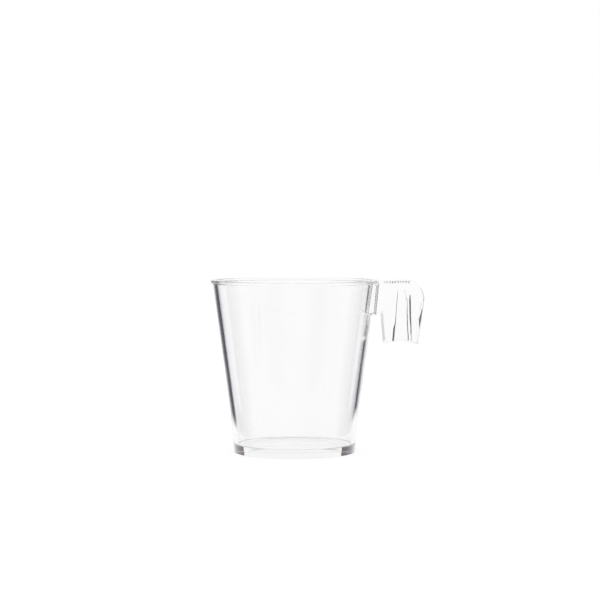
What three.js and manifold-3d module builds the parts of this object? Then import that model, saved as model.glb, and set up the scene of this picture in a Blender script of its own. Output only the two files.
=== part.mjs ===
// Clear moulded espresso cup: a tapered cup on a thick base, with a cored pinch handle at the rim.
// Millimetres, +Z up. The origin is the centre of the base on the table, and +X points to the handle.
import * as THREE from 'three';
import { mergeVertices } from 'three/addons/utils/BufferGeometryUtils.js';
import Module from 'manifold-3d';

const wasm = await Module();
wasm.setup();

// The cup, from the table up. Radii are of the outer face.
const CUP_HEIGHT = 60.0;
const BASE_THICKNESS = 3.0;
const BASE_EDGE_ROUND = 0.3;
const BASE_RADIUS = 21.1;
const FOOT_TOP_RADIUS = 22.2;
const FOOT_HEIGHT = 13.0;
const WALL_TOP_RADIUS = 28.5;
const WALL_THICKNESS = 1.5;
const LIP_HEIGHT = 1.1;
const LIP_OVERHANG = 0.65;
const LIP_EDGE_ROUND = 0.4;
const TURN_STEPS = 64;
const ROUND_STEPS = 4;

// The handle, measured out from the outside of the lip and down from the rim.
const SEAM_GAP = 0.3;
const HANDLE_REACH = 15.9;
const HANDLE_DROP = 22.4;
const HANDLE_WIDTH = 8.4;
const HANDLE_DRAFT = 2.1;
const SHOULDER_LENGTH = 5.2;
const SHOULDER_DROP = 7.0;
const FOOT_ARCH_RISE = 1.1;
const THUMB_PLATE_THICKNESS = 2.8;
const GRIP_START = 2.0;
const GRIP_LENGTH = 9.4;
const GRIP_PITCH = 0.94;
const GRIP_DEPTH = 0.25;
const CHEEK_THICKNESS = 1.3;
const LEG_GAP = 0.8;
const LEG_LEAN = 1.2;
const LEG_WIDTH = 5.75;
const LEG_TAPER = 2.5;
const RIB_OFFSET = 9.45;
const RIB_LEAN = 0.7;
const RIB_THICKNESS = 1.2;
const END_WALL_THICKNESS = 1.0;
const END_POCKET_DROP = 7.2;
const PAD_WIDTH = 18.0;
const PAD_PROUD = 0.1;
const PAD_LEAN = 1.0;
const PAD_DROP = 11.9;
const ARCH_STEPS = 10;
const SHOULDER_STEPS = 8;
const WELD_DISTANCE = 1e-4;

const CLEAR_PLASTIC = {
  color: 0xf3f5f7,
  roughness: 0.05,
  metalness: 0,
  transparent: true,
  opacity: 0.35,
};

const cup = new THREE.Group();

function addPiece(name, geometry) {
  const piece = new THREE.Mesh(geometry, new THREE.MeshStandardMaterial(CLEAR_PLASTIC));
  piece.name = name;
  cup.add(piece);
}

// A profile of [radius, height] points turned about Z. It runs counterclockwise, with the axis on its left.
function turned(profile) {
  const points = profile.map(([radius, height]) => new THREE.Vector2(radius, height));
  return new THREE.LatheGeometry(points, TURN_STEPS).rotateX(Math.PI / 2);
}

// An outline of [x, z] points made a slab from y = from to y = to.
function slab(outline, from, to) {
  const shape = new THREE.Shape(outline.map(([x, z]) => new THREE.Vector2(x, z)));
  const geometry = new THREE.ExtrudeGeometry(shape, { depth: to - from, bevelEnabled: false });
  return geometry.rotateX(Math.PI / 2).translate(0, to, 0);
}

function toSolid(geometry) {
  const bare = geometry.clone();
  bare.deleteAttribute('normal');
  bare.deleteAttribute('uv');
  const merged = mergeVertices(bare, WELD_DISTANCE);
  return new wasm.Manifold(new wasm.Mesh({
    numProp: 3,
    vertProperties: new Float32Array(merged.attributes.position.array),
    triVerts: new Uint32Array(merged.index.array),
  }));
}

function cutBy(geometry, cutter) {
  const mesh = toSolid(geometry).subtract(toSolid(cutter)).getMesh();
  const result = new THREE.BufferGeometry();
  result.setAttribute('position', new THREE.BufferAttribute(mesh.vertProperties, 3));
  result.setIndex(new THREE.BufferAttribute(mesh.triVerts, 1));
  return result;
}

// Points of an arc about a centre, from one angle to another in degrees.
function arc([centreX, centreZ], [radiusX, radiusZ], fromDegrees, toDegrees, steps) {
  const points = [];
  for (let i = 0; i <= steps; i += 1) {
    const angle = THREE.MathUtils.degToRad(fromDegrees + ((toDegrees - fromDegrees) * i) / steps);
    points.push([centreX + radiusX * Math.cos(angle), centreZ + radiusZ * Math.sin(angle)]);
  }
  return points;
}

// A quarter round of that radius about a centre, from the angle given.
function quarterRound(centreX, centreZ, radius, fromDegrees) {
  return arc([centreX, centreZ], [radius, radius], fromDegrees, fromDegrees + 90, ROUND_STEPS);
}

// Base: a solid disc with a rounded bottom edge, whose top is the floor of the cup.
const wallFoot = (FOOT_TOP_RADIUS - BASE_RADIUS) / FOOT_HEIGHT;
const baseTopRadius = BASE_RADIUS + wallFoot * BASE_THICKNESS;
addPiece('base_disc', turned([
  [0, 0],
  ...quarterRound(BASE_RADIUS - BASE_EDGE_ROUND, BASE_EDGE_ROUND, BASE_EDGE_ROUND, -90),
  [baseTopRadius, BASE_THICKNESS],
  [0, BASE_THICKNESS],
]));

// Side wall: an almost upright foot, then an even taper out to the rim.
const lipBottom = CUP_HEIGHT - LIP_HEIGHT;
const wallOuter = [
  [baseTopRadius, BASE_THICKNESS],
  [FOOT_TOP_RADIUS, FOOT_HEIGHT],
  [WALL_TOP_RADIUS, lipBottom],
];
const wallInner = wallOuter.map(([radius, height]) => [radius - WALL_THICKNESS, height]).reverse();
addPiece('cup_wall', turned([...wallOuter, ...wallInner, wallOuter[0]]));

// Rim lip: the rounded band that stands a little proud of the wall.
const lipRadius = WALL_TOP_RADIUS + LIP_OVERHANG;
const lipInner = WALL_TOP_RADIUS - WALL_THICKNESS;
const lipCorner = lipRadius - LIP_EDGE_ROUND;
addPiece('rim_lip', turned([
  [lipInner, lipBottom],
  ...quarterRound(lipCorner, lipBottom + LIP_EDGE_ROUND, LIP_EDGE_ROUND, -90),
  ...quarterRound(lipCorner, CUP_HEIGHT - LIP_EDGE_ROUND, LIP_EDGE_ROUND, 0),
  ...quarterRound(lipInner + LIP_EDGE_ROUND, CUP_HEIGHT - LIP_EDGE_ROUND, LIP_EDGE_ROUND, 90),
  [lipInner, lipBottom],
]));

// What the handle keeps clear of: the outside of the cup with the seam gap added.
const cupClearance = turned([
  [0, BASE_THICKNESS],
  [baseTopRadius + SEAM_GAP, BASE_THICKNESS],
  [FOOT_TOP_RADIUS + SEAM_GAP, FOOT_HEIGHT],
  [WALL_TOP_RADIUS + SEAM_GAP, lipBottom - SEAM_GAP],
  [lipRadius + SEAM_GAP, lipBottom - SEAM_GAP],
  [lipRadius + SEAM_GAP, CUP_HEIGHT + SEAM_GAP],
  [0, CUP_HEIGHT + SEAM_GAP],
]);

// Handle heights and lines, seen from the side. The bottom edge is a shallow arch between two low corners.
const plateBottom = CUP_HEIGHT - THUMB_PLATE_THICKNESS;
const handleBottom = CUP_HEIGHT - HANDLE_DROP;
const padBottom = CUP_HEIGHT - PAD_DROP;
const endX = lipRadius + HANDLE_REACH;
const endBottomX = endX - HANDLE_DRAFT;
const legNotchX = lipRadius + LEG_GAP;
const legBottomX = legNotchX + LEG_LEAN;
const legTopFaceX = legNotchX + LEG_WIDTH;
const legBottomFaceX = legBottomX + LEG_WIDTH - LEG_TAPER;
const padTopX = lipRadius + PAD_PROUD;
const padBottomX = padTopX - PAD_LEAN;

function archZ(x) {
  const half = (endBottomX - legBottomX) / 2;
  const along = (x - legBottomX - half) / half;
  return handleBottom + FOOT_ARCH_RISE * (1 - along * along);
}

// Points along the bottom arch from one x to another.
function archPoints(fromX, toX) {
  const points = [];
  for (let i = 0; i <= ARCH_STEPS; i += 1) {
    const x = fromX + ((toX - fromX) * i) / ARCH_STEPS;
    points.push([x, archZ(x)]);
  }
  return points;
}

// The round shoulder at the outer end, between two angles of its ellipse.
const shoulderCentre = [endX - SHOULDER_LENGTH, CUP_HEIGHT - SHOULDER_DROP];
const plateBottomRise = (plateBottom - shoulderCentre[1]) / SHOULDER_DROP;
const plateBottomAngle = THREE.MathUtils.radToDeg(Math.asin(plateBottomRise));

function shoulder(fromDegrees, toDegrees) {
  const radii = [SHOULDER_LENGTH, SHOULDER_DROP];
  return arc(shoulderCentre, radii, fromDegrees, toDegrees, SHOULDER_STEPS);
}

// Root pad: the block on the wall, under the lip, that carries the handle.
addPiece('handle_root_pad', cutBy(slab([
  [padBottomX - PAD_DROP, padBottom],
  [padBottomX, padBottom],
  [padTopX, plateBottom],
  [padTopX - PAD_DROP, plateBottom],
], -PAD_WIDTH / 2, PAD_WIDTH / 2), cupClearance));

// Inner leg: the solid leg that hangs beside the cup, joined to the pad above the finger gap.
const halfWidth = HANDLE_WIDTH / 2;
addPiece('handle_inner_leg', slab([
  [padTopX, plateBottom],
  [padBottomX, padBottom],
  [legNotchX, padBottom],
  ...archPoints(legBottomX, legBottomFaceX),
  [legTopFaceX, plateBottom],
], -halfWidth, halfWidth));

// Cheeks: the two thin side walls round the cored-out pockets.
const cheekOutline = [
  ...archPoints(legBottomFaceX, endBottomX),
  ...shoulder(0, plateBottomAngle),
  [legTopFaceX, plateBottom],
];
const cheekInside = halfWidth - CHEEK_THICKNESS;
addPiece('handle_front_cheek', slab(cheekOutline, -halfWidth, -cheekInside));
addPiece('handle_back_cheek', slab(cheekOutline, cheekInside, halfWidth));

// Cross rib: the thin wall between the two pockets.
const ribTopX = lipRadius + RIB_OFFSET;
const ribBottomX = ribTopX + RIB_LEAN;
addPiece('handle_cross_rib', slab([
  ...archPoints(ribBottomX, ribBottomX + RIB_THICKNESS),
  [ribTopX + RIB_THICKNESS, plateBottom],
  [ribTopX, plateBottom],
], -cheekInside, cheekInside));

// End wall: the outer end of the handle, thick at the shoulder and thin below it.
const endPocketTop = CUP_HEIGHT - END_POCKET_DROP;
const ribLeanThere = (RIB_LEAN * (plateBottom - endPocketTop)) / (plateBottom - archZ(ribBottomX));
addPiece('handle_end_wall', slab([
  ...archPoints(endBottomX - END_WALL_THICKNESS, endBottomX),
  ...shoulder(0, plateBottomAngle),
  [ribTopX + RIB_THICKNESS, plateBottom],
  [ribTopX + RIB_THICKNESS + ribLeanThere, endPocketTop],
  [endX - END_WALL_THICKNESS, endPocketTop],
], -cheekInside, cheekInside));

// Thumb plate: the flat top, level with the rim, with fine grip ridges across it.
const grips = [];
for (let x = GRIP_START + GRIP_LENGTH; x > GRIP_START; x -= GRIP_PITCH) {
  grips.push([lipRadius + x, CUP_HEIGHT - GRIP_DEPTH]);
  grips.push([lipRadius + x - GRIP_PITCH / 2, CUP_HEIGHT]);
}
addPiece('thumb_plate', cutBy(slab([
  [lipInner, plateBottom],
  ...shoulder(plateBottomAngle, 90),
  ...grips,
  [lipRadius + GRIP_START - GRIP_PITCH, CUP_HEIGHT],
  [lipInner, CUP_HEIGHT],
], -halfWidth, halfWidth), cupClearance));

export default cup;
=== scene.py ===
import math
import bmesh
import bpy
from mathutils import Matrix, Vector


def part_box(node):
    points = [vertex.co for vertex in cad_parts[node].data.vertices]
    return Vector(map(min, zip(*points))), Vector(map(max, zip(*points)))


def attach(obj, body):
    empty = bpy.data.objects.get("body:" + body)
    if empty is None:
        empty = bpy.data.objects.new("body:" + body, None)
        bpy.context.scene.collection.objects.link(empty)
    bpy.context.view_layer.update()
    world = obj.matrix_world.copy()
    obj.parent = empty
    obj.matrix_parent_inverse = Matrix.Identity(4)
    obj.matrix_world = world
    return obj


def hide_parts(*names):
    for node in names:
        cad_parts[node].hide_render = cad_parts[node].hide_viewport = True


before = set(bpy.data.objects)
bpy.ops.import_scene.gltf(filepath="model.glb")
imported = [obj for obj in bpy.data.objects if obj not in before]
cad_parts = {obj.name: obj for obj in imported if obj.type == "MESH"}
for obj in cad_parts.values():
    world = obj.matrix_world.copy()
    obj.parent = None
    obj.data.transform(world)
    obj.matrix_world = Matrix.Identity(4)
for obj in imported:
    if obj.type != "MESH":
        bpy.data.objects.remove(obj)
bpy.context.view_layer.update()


# Clear plastic: a colourless styrenic, polished by the mould and bright right through. It has faint flow
# streaks, a slight waviness of the skin, and a dull ring underneath where the base rubs on tables.
MM = 0.001
STREAK_WIDTH = 18.0 * MM
STREAK_STRETCH = (1.0, 1.0, 0.4)
WAVE_LENGTH = 9.0 * MM
WAVE_DEPTH = 0.02 * MM
SCUFF_SIZE = 1.5 * MM
SCUFF_ROUGHNESS = 0.12
RING_RADIUS = 17.0 * MM
RING_HALF_WIDTH = 2.0 * MM
RING_FULL_HALF_WIDTH = 1.0 * MM
UNDERSIDE_Z = 0.05 * MM


def linear(hex_colour):
    """An sRGB hex colour as linear red, green, blue and alpha."""
    values = [int(hex_colour[i:i + 2], 16) / 255 for i in (1, 3, 5)]
    return [v / 12.92 if v <= 0.04045 else ((v + 0.055) / 1.055) ** 2.4 for v in values] + [1.0]


def add_node(tree, kind, settings=None, **inputs):
    """One node with its settings and inputs. Each input, named or _n for its number, is linked or set."""
    node = tree.nodes.new(kind)
    for key, value in (settings or {}).items():
        setattr(node, key, value)
    for key, value in inputs.items():
        socket = node.inputs[int(key[1:]) if key[1:].isdigit() else key.replace("_", " ")]
        if isinstance(value, bpy.types.NodeSocket):
            tree.links.new(value, socket)
        else:
            socket.default_value = value
    return node


plastic = bpy.data.materials.new("clear_styrenic_plastic")
plastic.use_nodes = True
tree = plastic.node_tree
shader = tree.nodes["Principled BSDF"]
shader.inputs["IOR"].default_value = 1.56
shader.inputs["Transmission Weight"].default_value = 1.0
where = add_node(tree, "ShaderNodeTexCoord")

# Flow streaks, about 18 mm across and drawn out upwards, that tint the plastic by a percent or so.
drawn_out = add_node(tree, "ShaderNodeVectorMath", {"operation": "MULTIPLY"}, _0=where.outputs["Object"],
                     _1=STREAK_STRETCH)
streaks = add_node(tree, "ShaderNodeTexNoise", Vector=drawn_out.outputs[0], Scale=1 / STREAK_WIDTH,
                   Detail=2.0)
tint = add_node(tree, "ShaderNodeMix", {"data_type": "RGBA"}, _0=streaks.outputs["Fac"],
                _6=linear("#ffffff"), _7=linear("#fbfbfc"))
tree.links.new(tint.outputs[2], shader.inputs["Base Color"])

# Absorption: about 7 percent of the light over the 42 mm across the base, and next to none in the wall.
haze = add_node(tree, "ShaderNodeVolumeAbsorption", Color=linear("#bcbcbc"), Density=3.5)
tree.links.new(haze.outputs[0], tree.nodes["Material Output"].inputs["Volume"])

# Waviness of the moulded skin: 9 mm waves about a hundredth of a millimetre high.
waves = add_node(tree, "ShaderNodeTexNoise", Vector=where.outputs["Object"], Scale=1 / WAVE_LENGTH,
                 Detail=1.0)
skin = add_node(tree, "ShaderNodeBump", Strength=1.0, Distance=WAVE_DEPTH, Height=waves.outputs["Fac"])
tree.links.new(skin.outputs["Normal"], shader.inputs["Normal"])

# Scuffs on the standing ring: broken 1.5 mm patches on the underside, between 15 and 19 mm from the axis.
place = add_node(tree, "ShaderNodeSeparateXYZ", Vector=where.outputs["Object"])
flat = add_node(tree, "ShaderNodeVectorMath", {"operation": "MULTIPLY"}, _0=where.outputs["Object"],
                _1=(1.0, 1.0, 0.0))
radius = add_node(tree, "ShaderNodeVectorMath", {"operation": "LENGTH"}, _0=flat.outputs[0])
off_ring = add_node(tree, "ShaderNodeMath", {"operation": "SUBTRACT"}, _0=radius.outputs["Value"],
                    _1=RING_RADIUS)
from_ring = add_node(tree, "ShaderNodeMath", {"operation": "ABSOLUTE"}, _0=off_ring.outputs[0])
on_ring = add_node(tree, "ShaderNodeMapRange", Value=from_ring.outputs[0], _1=RING_HALF_WIDTH,
                   _2=RING_FULL_HALF_WIDTH)
under = add_node(tree, "ShaderNodeMath", {"operation": "LESS_THAN"}, _0=place.outputs["Z"], _1=UNDERSIDE_Z)
patches = add_node(tree, "ShaderNodeTexNoise", Vector=where.outputs["Object"], Scale=1 / SCUFF_SIZE)
worn = add_node(tree, "ShaderNodeMapRange", Value=patches.outputs["Fac"], _1=0.5, _2=0.7, _4=SCUFF_ROUGHNESS)
ring = add_node(tree, "ShaderNodeMath", {"operation": "MULTIPLY"}, _0=on_ring.outputs[0], _1=under.outputs[0])
scuffs = add_node(tree, "ShaderNodeMath", {"operation": "MULTIPLY"}, _0=ring.outputs[0], _1=worn.outputs[0])
tree.links.new(scuffs.outputs[0], shader.inputs["Roughness"])


# Cup: one moulding of that plastic, turned in shape, with a solid base, an almost upright foot, an evenly
# tapered wall and a thin rounded lip. A raised pad on the wall, just under the lip, carries the handle.
base_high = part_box("base_disc")[1]
wall_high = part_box("cup_wall")[1]
lip_low, lip_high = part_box("rim_lip")
pad_low, pad_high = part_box("handle_root_pad")
FLOOR_Z = base_high[2]
FLOOR_EDGE_RADIUS = base_high[0]
BASE_RADIUS = 21.1 * MM
FOOT_TOP_RADIUS = 22.2 * MM
FOOT_TOP_Z = 13.0 * MM
WALL_TOP_RADIUS = wall_high[0]
LIP_RADIUS = lip_high[0]
LIP_Z = lip_low[2]
RIM_Z = lip_high[2]
WALL = 1.5 * MM
BASE_ROUND = 0.1 * MM
FLOOR_ROUND = 0.4 * MM
FOOT_BLEND = 120.0 * MM
LIP_ROUND = 0.35 * MM
LIP_FILLET = 0.25 * MM
LIP_INSIDE_BLEND = 3.0 * MM
TURN_STEPS = 256
ROUND_STEPS = 12
WELD_DISTANCE = 0.001 * MM
TOOL_OVERSHOOT = 1.0 * MM


def corner(before, at, after, radius):
    """Points of the arc of that radius that rounds the corner at a point of an outline."""
    to_before = (Vector(before) - Vector(at)).normalized()
    to_after = (Vector(after) - Vector(at)).normalized()
    half = to_before.angle(to_after) / 2
    centre = Vector(at) + (to_before + to_after).normalized() * radius / math.sin(half)
    first = Vector(at) + to_before * radius / math.tan(half) - centre
    last = Vector(at) + to_after * radius / math.tan(half) - centre
    start = math.atan2(first.y, first.x)
    turn = (math.atan2(last.y, last.x) - start + math.pi) % (2 * math.pi) - math.pi
    angles = [start + turn * i / ROUND_STEPS for i in range(ROUND_STEPS + 1)]
    return [(centre.x + radius * math.cos(a), centre.y + radius * math.sin(a)) for a in angles]


def loft(name, rings):
    """A closed solid skinned over rings of points, with a flat face on the first ring and on the last."""
    bm = bmesh.new()
    loops = [[bm.verts.new(point) for point in ring] for ring in rings]
    for low, high in zip(loops, loops[1:]):
        for i in range(len(low)):
            bm.faces.new((low[i - 1], low[i], high[i], high[i - 1]))
    bm.faces.new(loops[0])
    bm.faces.new(loops[-1])
    bmesh.ops.recalc_face_normals(bm, faces=bm.faces)
    mesh = bpy.data.meshes.new(name)
    bm.to_mesh(mesh)
    bm.free()
    obj = bpy.data.objects.new(name, mesh)
    bpy.context.collection.objects.link(obj)
    return obj


def turned(name, profile):
    """A solid turned about Z from (radius, height) points, from the edge of one end face to the other's."""
    angles = [2 * math.pi * i / TURN_STEPS for i in range(TURN_STEPS)]
    return loft(name, [[(r * math.cos(a), r * math.sin(a), z) for a in angles] for r, z in profile])


def slab(name, points, half_width, round_depth):
    """A slab with a counterclockwise outline, y from -half_width to half_width. Each point is x, z, its
    edge's round, which starts that depth behind the front and back, and its slant in from front to back."""
    outline = [Vector((x, z)) for x, z, *_ in points]
    inward = []
    for i, at in enumerate(outline):
        coming = (at - outline[i - 1]).normalized()
        going = (outline[(i + 1) % len(outline)] - at).normalized()
        inward.append(Vector((-coming.y - going.y, coming.x + going.x)) / (1 + coming.dot(going)))
    levels = []
    for step in range(ROUND_STEPS + 1):
        angle = math.radians(90 * step / ROUND_STEPS)
        levels.append((-half_width + round_depth * (1 - math.cos(angle)), 1 - math.sin(angle)))
    levels += [(-y, inset) for y, inset in reversed(levels)]
    rings = []
    for y, inset in levels:
        along = (y + half_width) / (2 * half_width)
        moved = [at + way * (p[2] * inset + p[3] * along) for at, way, p in zip(outline, inward, points)]
        rings.append([(at.x, y, at.y) for at in moved])
    return loft(name, rings)


def bake(obj):
    """Makes the shape that the modifiers give the piece's own mesh."""
    depsgraph = bpy.context.evaluated_depsgraph_get()
    old = obj.data
    obj.data = bpy.data.meshes.new_from_object(obj.evaluated_get(depsgraph))
    obj.modifiers.clear()
    bpy.data.meshes.remove(old)


def combine(obj, tool, operation):
    """Joins a tool to a piece or cuts it away, and deletes the tool."""
    modifier = obj.modifiers.new("combine", "BOOLEAN")
    modifier.operation = operation
    modifier.solver = "EXACT"
    modifier.object = tool
    bake(obj)
    bpy.data.objects.remove(tool)


def clean(obj):
    """Welds points that the cuts left together, and deletes pairs of triangles folded on each other."""
    bm = bmesh.new()
    bm.from_mesh(obj.data)
    bmesh.ops.remove_doubles(bm, verts=bm.verts, dist=WELD_DISTANCE)
    bmesh.ops.triangulate(bm, faces=[face for face in bm.faces if len(face.verts) > 4])
    on_same_points = {}
    for face in bm.faces:
        on_same_points.setdefault(frozenset(face.verts), []).append(face)
    folds = [face for faces in on_same_points.values() if len(faces) == 2 for face in faces]
    bmesh.ops.delete(bm, geom=folds, context="FACES")
    bm.to_mesh(obj.data)
    bm.free()


def smooth(obj, degrees):
    """Smooth shading with sharp edges past an angle, and normals that follow the larger faces."""
    obj.data.polygons.foreach_set("use_smooth", [True] * len(obj.data.polygons))
    obj.data.set_sharp_from_angle(angle=math.radians(degrees))
    weighted = obj.modifiers.new("normals", "WEIGHTED_NORMAL")
    weighted.keep_sharp = True
    weighted.weight = 80
    bake(obj)


cup_corners = [
    ((0, 0), 0),
    ((BASE_RADIUS, 0), BASE_ROUND),
    ((FLOOR_EDGE_RADIUS, FLOOR_Z), 0),
    ((FOOT_TOP_RADIUS, FOOT_TOP_Z), FOOT_BLEND),
    ((WALL_TOP_RADIUS, LIP_Z), LIP_FILLET),
    ((LIP_RADIUS, LIP_Z), LIP_ROUND),
    ((LIP_RADIUS, RIM_Z), LIP_ROUND),
    ((WALL_TOP_RADIUS - WALL, RIM_Z), LIP_ROUND),
    ((WALL_TOP_RADIUS - WALL, LIP_Z), LIP_INSIDE_BLEND),
    ((FOOT_TOP_RADIUS - WALL, FOOT_TOP_Z), FOOT_BLEND),
    ((FLOOR_EDGE_RADIUS - WALL, FLOOR_Z), FLOOR_ROUND),
    ((0, FLOOR_Z), 0),
]
cup_profile = []
for (before, _), (at, radius), (after, _) in zip(cup_corners, cup_corners[1:], cup_corners[2:]):
    cup_profile += corner(before, at, after, radius) if radius else [at]
cup_body = turned("cup_body", cup_profile)

# The pad's back is sunk in the wall, and its face leans in towards the bottom with the wall's own taper.
PAD_SUNK = 1.3 * MM
PAD_INNER_X = 20.0 * MM
PAD_LEAN = 1.1 * MM
PAD_ROUND = 1.4 * MM
PAD_TOP_Z = LIP_Z + 0.3 * MM
PAD_TOP_X = pad_high[0]
PAD_BOTTOM_X = pad_high[0] - PAD_LEAN
PAD_HALF_WIDTH = pad_high[1]


def wall_radius(z):
    """The radius of the wall's outer face at a height above the foot."""
    along = (z - FOOT_TOP_Z) / (LIP_Z - FOOT_TOP_Z)
    return FOOT_TOP_RADIUS + (WALL_TOP_RADIUS - FOOT_TOP_RADIUS) * along


pad = slab("pad", [
    (PAD_INNER_X, pad_low[2], 0, 0),
    (PAD_BOTTOM_X, pad_low[2], PAD_ROUND, 0),
    (PAD_TOP_X, PAD_TOP_Z, PAD_ROUND, 0),
    (PAD_INNER_X, PAD_TOP_Z, 0, 0),
], PAD_HALF_WIDTH, PAD_ROUND)
heights = (pad_low[2] - TOOL_OVERSHOOT, PAD_TOP_Z + TOOL_OVERSHOOT)
combine(pad, turned("inside", [(wall_radius(z) - PAD_SUNK, z) for z in heights]), "DIFFERENCE")
combine(cup_body, pad, "UNION")
cup_body.data.materials.append(plastic)
clean(cup_body)
smooth(cup_body, 35)
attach(cup_body, "root")
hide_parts("base_disc", "cup_wall", "rim_lip", "handle_root_pad")


# Handle: a hooked tab of the same plastic, pinched between finger and thumb and joined to the pad. It is
# cored out from below into two pockets with a thin rib between them, and grip grooves cross its flat top.
leg_low, leg_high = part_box("handle_inner_leg")
SEAM = 0.03 * MM
ROOT_X = LIP_RADIUS - 1.0 * MM
HALF_WIDTH = leg_high[1]
END_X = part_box("handle_end_wall")[1][0]
END_BOTTOM_X = END_X - 2.1 * MM
SHOULDER_LENGTH = 5.2 * MM
SHOULDER_DROP = 7.0 * MM
SHOULDER_STEPS = 16
LEG_NOTCH_X = LIP_RADIUS + 0.6 * MM
LEG_BOTTOM_X = LEG_NOTCH_X + 0.9 * MM
HANDLE_BOTTOM = leg_low[2]
ARCH_RISE = 1.1 * MM
ARCH_STEPS = 24
EDGE_ROUND = 0.45 * MM
ROOT_ROUND = 0.1 * MM
SHOULDER_ROUND = 0.25 * MM
LEG_ROUND = 0.15 * MM
LEG_SLANT = 1.1 * MM

# The outline from the side: root, inner leg, bottom arch and shoulder. The leg narrows towards the back.
handle_points = [
    (ROOT_X, RIM_Z, EDGE_ROUND, 0),
    (ROOT_X, PAD_TOP_Z + SEAM, ROOT_ROUND, 0),
    (PAD_TOP_X + SEAM, PAD_TOP_Z + SEAM, ROOT_ROUND, 0),
    (PAD_BOTTOM_X + SEAM, pad_low[2], ROOT_ROUND, 0),
    (LEG_NOTCH_X, pad_low[2], LEG_ROUND, LEG_SLANT),
    (LEG_BOTTOM_X, HANDLE_BOTTOM, LEG_ROUND, LEG_SLANT),
]
for i in range(1, ARCH_STEPS + 1):
    along = 2 * i / ARCH_STEPS - 1
    x = LEG_BOTTOM_X + (END_BOTTOM_X - LEG_BOTTOM_X) * i / ARCH_STEPS
    handle_points.append((x, HANDLE_BOTTOM + ARCH_RISE * (1 - along * along), EDGE_ROUND, 0))
for i in range(SHOULDER_STEPS + 1):
    angle = math.radians(90 * i / SHOULDER_STEPS)
    x = END_X - SHOULDER_LENGTH * (1 - math.cos(angle))
    z = RIM_Z - SHOULDER_DROP * (1 - math.sin(angle))
    handle_points.append((x, z, SHOULDER_ROUND, 0))
handle = slab("handle", handle_points, HALF_WIDTH, EDGE_ROUND)

# What is cut away, in millimetres: two cores, drawn out downwards, and a shallow flute down the outer end.
# Each level is its height, its low and high x, and how far each of those sides stands out in a V.
FIRST_CORE = [
    (36.6, 34.40, 39.38, 0.45, 0.52),
    (40.6, 34.78, 39.28, 0.52, 0.54),
    (43.0, 34.98, 39.12, 0.52, 0.54),
    (45.0, 35.22, 39.06, 0.22, 0.50),
    (49.0, 35.45, 39.00, 0.11, 0.41),
    (52.5, 35.70, 39.10, 0.13, 0.28),
    (54.5, 35.89, 38.90, 0.13, 0.28),
    (56.5, 36.00, 38.38, 0.06, 0.16),
    (57.0, 36.37, 37.93, 0.04, 0.04),
    (57.2, 36.71, 37.58, 0.04, 0.04),
]
END_CORE = [
    (36.6, 40.66, 42.20, 0.22, 0.04),
    (40.6, 40.66, 42.55, 0.22, 0.04),
    (44.0, 40.61, 42.90, 0.26, 0.04),
    (46.2, 40.50, 42.90, 0.36, 0.04),
    (48.3, 40.42, 43.40, 0.36, 0.04),
    (51.0, 40.37, 44.00, 0.34, 0.04),
    (52.7, 40.34, 44.20, 0.38, 0.04),
    (52.8, 40.34, 42.04, 0.38, 0.04),
    (54.9, 40.19, 40.65, 0.10, 0.04),
]
END_FLUTE = [
    (36.6, 42.83, 48.0, 0.14, 0.04),
    (42.8, 43.68, 48.0, 0.16, 0.04),
    (44.0, 43.84, 48.0, 0.40, 0.04),
    (46.2, 44.14, 48.0, 0.75, 0.04),
    (48.3, 44.43, 48.0, 0.46, 0.04),
    (50.4, 44.72, 48.0, 0.26, 0.04),
    (52.4, 44.99, 48.0, 0.16, 0.04),
    (54.0, 45.10, 48.0, 0.06, 0.04),
]
# For each cut: half its depth in y, where its V starts, and the slope of the V on its low and its high side.
for levels, half_y, v_from, low_degrees, high_degrees in [
    (FIRST_CORE, 3.4, 0.9, 12.0, 12.5),
    (END_CORE, 3.1, 0.9, 11.0, 11.0),
    (END_FLUTE, 5.0, 1.1, 14.5, 11.0),
]:
    rings = []
    for z, x_low, x_high, v_low, v_high in levels:
        ring = []
        for x, v, way, degrees in ((x_high, v_high, 1, high_degrees), (x_low, v_low, -1, low_degrees)):
            v_at = v_from + v / math.tan(math.radians(degrees))
            v_to = (v_at + half_y) / 2
            side = [(x, -half_y), (x, v_from), (x + v * way, v_at), (x, v_to), (x, half_y)]
            ring += side[::way]
        rings.append([Vector((x, y, z)) * MM for x, y in ring])
    combine(handle, loft("core", rings), "DIFFERENCE")
room_radius = LIP_RADIUS + SEAM
room_for_lip = turned("room_for_lip", [(room_radius, LIP_Z), (room_radius, RIM_Z + TOOL_OVERSHOOT)])
combine(handle, room_for_lip, "DIFFERENCE")

# Grip grooves: wedge-shaped notches across the top that widen towards the back, cut by a row of cones made
# with Geometry Nodes. The Cone input is the half width, half height and length of each.
grip = bpy.data.node_groups.new("grip_grooves", "GeometryNodeTree")
grip.interface.new_socket("Geometry", in_out="OUTPUT", socket_type="NodeSocketGeometry")
grip_inputs = {
    "Geometry": ("NodeSocketGeometry", None),
    "Count": ("NodeSocketInt", 10),
    "First": ("NodeSocketVector", (LIP_RADIUS + 2.2 * MM, 3.0 * MM, RIM_Z)),
    "Pitch": ("NodeSocketVector", (0.94 * MM, 0.0, 0.0)),
    "Cone": ("NodeSocketVector", (0.34 * MM, 1.4 * MM, 1.7 * MM)),
    "Material": ("NodeSocketMaterial", plastic),
}
sockets = {}
for name, (kind, _) in grip_inputs.items():
    sockets[name] = grip.interface.new_socket(name, in_out="INPUT", socket_type=kind)
given = add_node(grip, "NodeGroupInput").outputs
row = add_node(grip, "GeometryNodeMeshLine", {"mode": "OFFSET"}, Count=given["Count"],
               Start_Location=given["First"], Offset=given["Pitch"])
cone = add_node(grip, "GeometryNodeMeshCone", Vertices=16, Radius_Top=0.15, Radius_Bottom=1.0, Depth=1.0)
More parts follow.
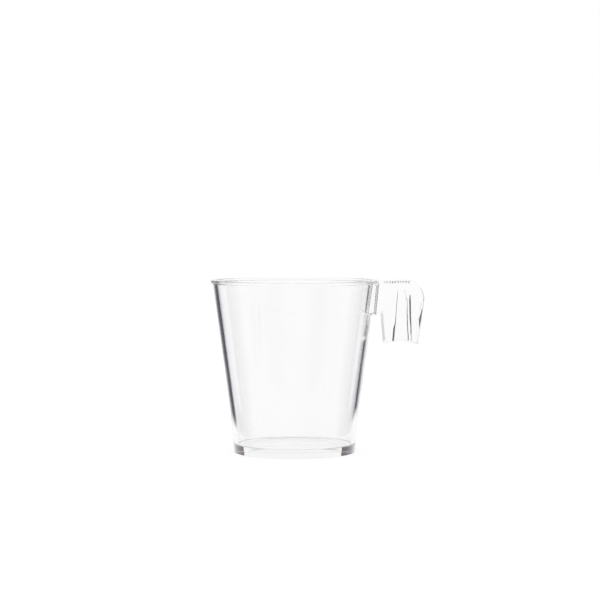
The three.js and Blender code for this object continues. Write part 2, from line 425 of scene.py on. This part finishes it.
cones = add_node(grip, "GeometryNodeInstanceOnPoints", Points=row.outputs["Mesh"],
                 Instance=cone.outputs["Mesh"], Rotation=(math.radians(90), 0.0, 0.0), Scale=given["Cone"])
solid_cones = add_node(grip, "GeometryNodeRealizeInstances", Geometry=cones.outputs[0])
cut = add_node(grip, "GeometryNodeMeshBoolean", {"operation": "DIFFERENCE", "solver": "EXACT"},
               Mesh_1=given["Geometry"], Mesh_2=solid_cones.outputs[0])
real = add_node(grip, "GeometryNodeRealizeInstances", Geometry=cut.outputs["Mesh"])
coated = add_node(grip, "GeometryNodeSetMaterial", Geometry=real.outputs[0], Material=given["Material"])
add_node(grip, "NodeGroupOutput", Geometry=coated.outputs[0])
modifier = handle.modifiers.new("grip", "NODES")
modifier.node_group = grip
for name, (_, value) in grip_inputs.items():
    if value is not None:
        modifier[sockets[name].identifier] = value
bake(handle)
clean(handle)
smooth(handle, 8)
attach(handle, "root")
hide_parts("handle_inner_leg", "handle_front_cheek", "handle_back_cheek", "handle_cross_rib",
            "handle_end_wall", "thumb_plate")


# Floor: a small white sheet that the cup stands on, lit from above and from below, and white to the camera.
# Light that was reflected in the cup, or went through one wall of it, sees the room beyond the sheet's edge.
FLOOR_HALF_SIZE = 6.0
FLOOR_DROP = 0.03 * MM
bm = bmesh.new()
bmesh.ops.create_grid(bm, x_segments=1, y_segments=1, size=FLOOR_HALF_SIZE)
mesh = bpy.data.meshes.new("floor")
bm.to_mesh(mesh)
bm.free()
floor = bpy.data.objects.new("floor", mesh)
bpy.context.collection.objects.link(floor)
floor.location.z = -FLOOR_DROP
SHEET_CENTRE = (4.5 * MM, 0.0, 0.0)
SHEET_HALF_SIZE = (56.5 * MM, 75.0 * MM, 0.0)
SHEET_FADE = 8.0 * MM
SHEET_GLOW = 0.79
GLOW_FOR_CAMERA = 0.04
FACES_OF_ONE_WALL = 2.0
sheet = bpy.data.materials.new("white_sheet")
sheet.use_nodes = True
tree = sheet.node_tree
tree.nodes.clear()
path = add_node(tree, "ShaderNodeLightPath")
place = add_node(tree, "ShaderNodeNewGeometry")
shifted = add_node(tree, "ShaderNodeVectorMath", {"operation": "SUBTRACT"}, _0=place.outputs["Position"],
                   _1=SHEET_CENTRE)
away = add_node(tree, "ShaderNodeVectorMath", {"operation": "ABSOLUTE"}, _0=shifted.outputs[0])
past = add_node(tree, "ShaderNodeVectorMath", {"operation": "SUBTRACT"}, _0=away.outputs[0],
                _1=SHEET_HALF_SIZE)
split = add_node(tree, "ShaderNodeSeparateXYZ", Vector=past.outputs[0])
most = add_node(tree, "ShaderNodeMath", {"operation": "MAXIMUM"}, _0=split.outputs["X"],
                _1=split.outputs["Y"])
beyond = add_node(tree, "ShaderNodeMapRange", Value=most.outputs[0], _1=0.0, _2=SHEET_FADE)
once = add_node(tree, "ShaderNodeMath", {"operation": "COMPARE"}, _0=path.outputs["Transmission Depth"],
                _1=FACES_OF_ONE_WALL, _2=0.5)
bent = add_node(tree, "ShaderNodeMath", {"operation": "ADD", "use_clamp": True},
                _0=path.outputs["Glossy Depth"], _1=once.outputs[0])
gone = add_node(tree, "ShaderNodeMath", {"operation": "MULTIPLY"}, _0=beyond.outputs[0], _1=bent.outputs[0])
diffuse = add_node(tree, "ShaderNodeBsdfDiffuse", Color=linear("#808080"))
level = add_node(tree, "ShaderNodeMath", {"operation": "MULTIPLY_ADD"}, _0=path.outputs["Is Camera Ray"],
                 _1=GLOW_FOR_CAMERA, _2=SHEET_GLOW)
glow = add_node(tree, "ShaderNodeEmission", Color=linear("#ffffff"), Strength=level.outputs[0])
lit = add_node(tree, "ShaderNodeAddShader", _0=diffuse.outputs[0], _1=glow.outputs[0])
clear = add_node(tree, "ShaderNodeBsdfTransparent")
mix = add_node(tree, "ShaderNodeMixShader", _0=gone.outputs[0], _1=lit.outputs[0], _2=clear.outputs[0])
add_node(tree, "ShaderNodeOutputMaterial", Surface=mix.outputs[0])
floor.data.materials.append(sheet)


# Room: even white light all round, with the dark room below the table's edge and a dark card on either side
# behind the cup. These two give the clear walls and the base their dark lines. The camera itself sees white.
# Colours go by bearing, 0 straight behind or in front and 1 at the side, and heights by the angle's sine.
WHITE = linear("#ffffff")
ROOM_SHIFT = -0.065
ROOM_STOPS = [(0.14, "#ffffff"), (0.29, "#5c5862"), (0.48, "#5c5862"), (0.55, "#eeeef1"), (0.72, "#eeeef1"),
              (0.86, "#ffffff")]
ROOM_TOP = (0.0, -0.04)
ROOM_FOOT = (-0.42, -0.28)
ROOM_IN_FRONT = 0.3
CARD_SHIFT = -0.072
CARD_STOPS = [(0.475, "#ffffff"), (0.485, "#ffddaa"), (0.495, "#403c44"), (0.60, "#4a464e"),
              (0.72, "#706c71"), (0.85, "#b4b2b6"), (0.97, "#ffffff")]
CARD_TOP = (0.30, 0.26)
CARD_FOOT = (-0.09, -0.05)
BEHIND_CUP = (-0.05, 0.05)
world = bpy.data.worlds.new("room")
bpy.context.scene.world = world
world.use_nodes = True
tree = world.node_tree
tree.nodes.clear()
where = add_node(tree, "ShaderNodeTexCoord")
split = add_node(tree, "ShaderNodeSeparateXYZ", Vector=where.outputs["Generated"])
ramps = []
for shift, stops in [(ROOM_SHIFT, ROOM_STOPS), (CARD_SHIFT, CARD_STOPS)]:
    moved = add_node(tree, "ShaderNodeVectorMath", {"operation": "ADD"}, _0=where.outputs["Generated"],
                     _1=(shift, 0.0, 0.0))
    one_side = add_node(tree, "ShaderNodeVectorMath", {"operation": "ABSOLUTE"}, _0=moved.outputs[0])
    aside = add_node(tree, "ShaderNodeSeparateXYZ", Vector=one_side.outputs[0])
    angle = add_node(tree, "ShaderNodeMath", {"operation": "ARCTAN2"}, _0=aside.outputs["X"],
                     _1=aside.outputs["Y"])
    bearing = add_node(tree, "ShaderNodeMath", {"operation": "MULTIPLY"}, _0=angle.outputs[0],
                       _1=2 / math.pi)
    ramp = add_node(tree, "ShaderNodeValToRGB", Fac=bearing.outputs[0])
    ramp.color_ramp.elements[0].color = WHITE
    for position, colour in stops:
        ramp.color_ramp.elements.new(position).color = linear(colour)
    ramps.append(ramp.outputs["Color"])
behind = add_node(tree, "ShaderNodeMapRange", Value=split.outputs["Y"], _1=BEHIND_CUP[0], _2=BEHIND_CUP[1])
room_top = add_node(tree, "ShaderNodeMapRange", Value=split.outputs["Z"], _1=ROOM_TOP[0], _2=ROOM_TOP[1])
room_foot = add_node(tree, "ShaderNodeMapRange", Value=split.outputs["Z"], _1=ROOM_FOOT[0], _2=ROOM_FOOT[1])
darker = add_node(tree, "ShaderNodeMapRange", Value=behind.outputs[0], _3=ROOM_IN_FRONT)
room_high = add_node(tree, "ShaderNodeMath", {"operation": "MULTIPLY"}, _0=room_top.outputs[0],
                     _1=room_foot.outputs[0])
in_room = add_node(tree, "ShaderNodeMath", {"operation": "MULTIPLY"}, _0=room_high.outputs[0],
                   _1=darker.outputs[0])
card_top = add_node(tree, "ShaderNodeMapRange", Value=split.outputs["Z"], _1=CARD_TOP[0], _2=CARD_TOP[1])
card_foot = add_node(tree, "ShaderNodeMapRange", Value=split.outputs["Z"], _1=CARD_FOOT[0], _2=CARD_FOOT[1])
card_high = add_node(tree, "ShaderNodeMath", {"operation": "MULTIPLY"}, _0=card_top.outputs[0],
                     _1=card_foot.outputs[0])
on_card = add_node(tree, "ShaderNodeMath", {"operation": "MULTIPLY"}, _0=card_high.outputs[0],
                   _1=behind.outputs[0])
room = add_node(tree, "ShaderNodeMix", {"data_type": "RGBA"}, _0=in_room.outputs[0], _6=WHITE, _7=ramps[0])
card = add_node(tree, "ShaderNodeMix", {"data_type": "RGBA"}, _0=on_card.outputs[0], _6=WHITE, _7=ramps[1])
shade = add_node(tree, "ShaderNodeMix", {"data_type": "RGBA", "blend_type": "MULTIPLY"}, _0=1.0,
                 _6=room.outputs[2], _7=card.outputs[2])
path = add_node(tree, "ShaderNodeLightPath")
seen = add_node(tree, "ShaderNodeMix", {"data_type": "RGBA"}, _0=path.outputs["Is Camera Ray"],
                _6=shade.outputs[2], _7=WHITE)
sky = add_node(tree, "ShaderNodeBackground", Color=seen.outputs[2], Strength=1.0)
add_node(tree, "ShaderNodeOutputWorld", Surface=sky.outputs[0])


# Camera: a long lens a little above the rim, placed by where the cup's axis, base and horizon lie in the
# picture. Clear plastic needs many bounces before light that is reflected inside it gets out.
PIXEL = 0.348 * MM
AXIS_PX = 294.5
BASE_PX = 452.3
HORIZON_PX = 202.0
DISTANCE_PX = 2020.0
IMAGE_PX = 600.0
aim = Vector(((IMAGE_PX / 2 - AXIS_PX) * PIXEL, 0, (BASE_PX - IMAGE_PX / 2) * PIXEL))
eye = Vector((aim.x, -DISTANCE_PX * PIXEL, (BASE_PX - HORIZON_PX) * PIXEL))
lens = bpy.data.cameras.new("camera")
lens.sensor_width = 36
lens.lens = 36 * DISTANCE_PX / IMAGE_PX
lens.clip_start = 0.01
camera = bpy.data.objects.new("camera", lens)
camera.location = eye
camera.rotation_euler = (aim - eye).to_track_quat("-Z", "Y").to_euler()
bpy.context.collection.objects.link(camera)
scene = bpy.context.scene
scene.camera = camera
scene.view_settings.view_transform = "Standard"
scene.cycles.max_bounces = 32
scene.cycles.glossy_bounces = 24
scene.cycles.transmission_bounces = 24
